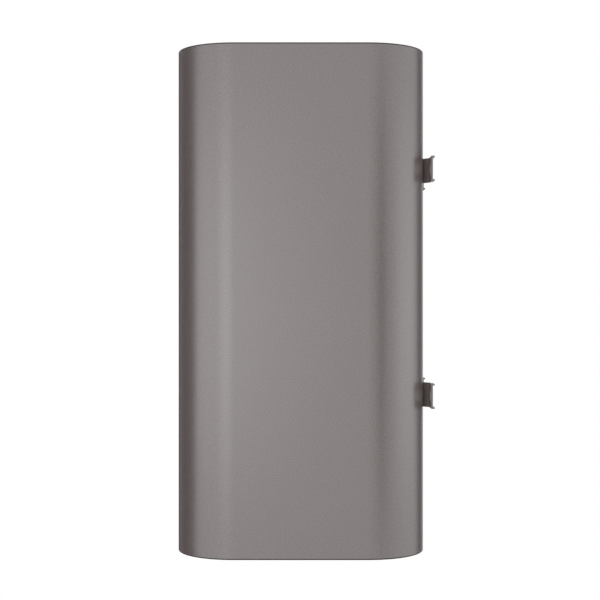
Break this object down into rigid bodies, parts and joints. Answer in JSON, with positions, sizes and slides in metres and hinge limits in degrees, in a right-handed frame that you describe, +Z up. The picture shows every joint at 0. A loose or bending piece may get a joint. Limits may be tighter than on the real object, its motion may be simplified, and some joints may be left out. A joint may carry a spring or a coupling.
{
  "type": "storage water heater",
  "caption": "Flat wall-hung electric storage water heater: rounded steel casing on hook brackets, tanks with heating elements inside, front control panel with push keys.",
  "frame": {"origin": "centre of the four outer hook holes, in the wall-side face of the bracket wings", "axes": "+Z up; +Y towards the wall, square to the bracket wings; the front faces -Y; +X to the right, seen from the front"},
  "size_m": [0.493, 0.2928, 0.584],
  "materials": {
    "casing_paint": "satin warm grey powder coat",
    "bracket_paint": "satin grey coat on stamped steel",
    "zinc_plate": "bright zinc plate",
    "galvanised_steel": "galvanised sheet",
    "tank_steel": "welded stainless sheet",
    "heating_sheath": "heat-tinted element sheath",
    "magnesium": "dull cast magnesium",
    "foam": "rigid polyurethane foam",
    "gasket_rubber": "moulded rubber",
    "blue_plastic": "moulded, satin",
    "red_plastic": "moulded, satin",
    "white_plastic": "moulded nylon",
    "cover_plastic": "fine texture",
    "panel_plastic": "satin moulded frame",
    "fascia_film": "gloss printed sheet",
    "key_plastic": "satin metallic moulding",
    "lens_plastic": "smoked clear plastic",
    "circuit_board": "green solder mask",
    "component_black": "moulded component bodies",
    "reset_red": "moulded button",
    "copper": "drawn copper tube",
    "lead_black": "extruded insulation",
    "wire_brown": "extruded insulation",
    "wire_blue": "extruded insulation",
    "wire_green": "extruded insulation, green with yellow",
    "ribbon_grey": "flat extruded cable"
  },
  "bodies": {
    "heater": {"anode_nuts": "zinc_plate", "anodes": "magnesium", "board_components": "component_black", "bottom_cap": "casing_paint", "bracket_lower_left": "bracket_paint", "bracket_lower_right": "bracket_paint", "bracket_screws": "zinc_plate", "bracket_upper_left": "bracket_paint", "bracket_upper_right": "bracket_paint", "casing_wrap": "casing_paint", "cold_inlet": "tank_steel", "cold_ring": "blue_plastic", "control_board": "circuit_board", "cutout_capillary": "copper", "display_board": "circuit_board", "display_module": "white_plastic", "display_ribbon": "ribbon_grey", "display_window": "lens_plastic", "earth_stud": "zinc_plate", "electronics_tray": "white_plastic", "element_left": "heating_sheath", "element_right": "heating_sheath", "flange_bolts": "zinc_plate", "flange_gaskets": "gasket_rubber", "flange_plates": "galvanised_steel", "gland_body": "cover_plastic", "gland_locknut": "cover_plastic", "gland_nut": "cover_plastic", "gland_seal": "gasket_rubber", "hanger_rails": "galvanised_steel", "hot_outlet": "tank_steel", "hot_ring": "red_plastic", "indicator_lenses": "lens_plastic", "inlet_diffuser": "white_plastic", "inner_pipes": "tank_steel", "insulation": "foam", "panel_back": "cover_plastic", "panel_fascia": "fascia_film", "panel_frame": "panel_plastic", "rail_nuts": "zinc_plate", "relays": "component_black", "sensor_probe": "lead_black", "service_cover": "cover_plastic", "service_cover_screws": "zinc_plate", "small_screws": "zinc_plate", "tact_switches": "component_black", "tank_left": "tank_steel", "tank_right": "tank_steel", "terminal_block": "white_plastic", "thermal_cutout": "component_black", "thermowells": "tank_steel", "top_cap": "casing_paint", "wire_earth": "wire_green", "wires_blue": "wire_blue", "wires_brown": "wire_brown"},
    "key_power": {"key_power": "key_plastic"},
    "key_mode": {"key_mode": "key_plastic"},
    "key_minus": {"key_minus": "key_plastic"},
    "key_plus": {"key_plus": "key_plastic"},
    "reset_button": {"reset_button": "reset_red"}
  },
  "joints": [
    {"name": "key_power_push", "type": "slide", "parent": "heater", "child": "key_power", "axis": [0, 1, 0], "range_m": [0, 0.0005], "stiffness_N_per_m": 800, "springref_m": -0.0005},
    {"name": "key_mode_push", "type": "slide", "parent": "heater", "child": "key_mode", "axis": [0, 1, 0], "range_m": [0, 0.0005], "stiffness_N_per_m": 800, "springref_m": -0.0005},
    {"name": "key_minus_push", "type": "slide", "parent": "heater", "child": "key_minus", "axis": [0, 1, 0], "range_m": [0, 0.0005], "stiffness_N_per_m": 800, "springref_m": -0.0005},
    {"name": "key_plus_push", "type": "slide", "parent": "heater", "child": "key_plus", "axis": [0, 1, 0], "range_m": [0, 0.0005], "stiffness_N_per_m": 800, "springref_m": -0.0005},
    {"name": "reset_push", "type": "slide", "parent": "heater", "child": "reset_button", "axis": [0, 0, 1], "range_m": [0, 0.002], "stiffness_N_per_m": 900, "springref_m": -0.001}
  ]
}
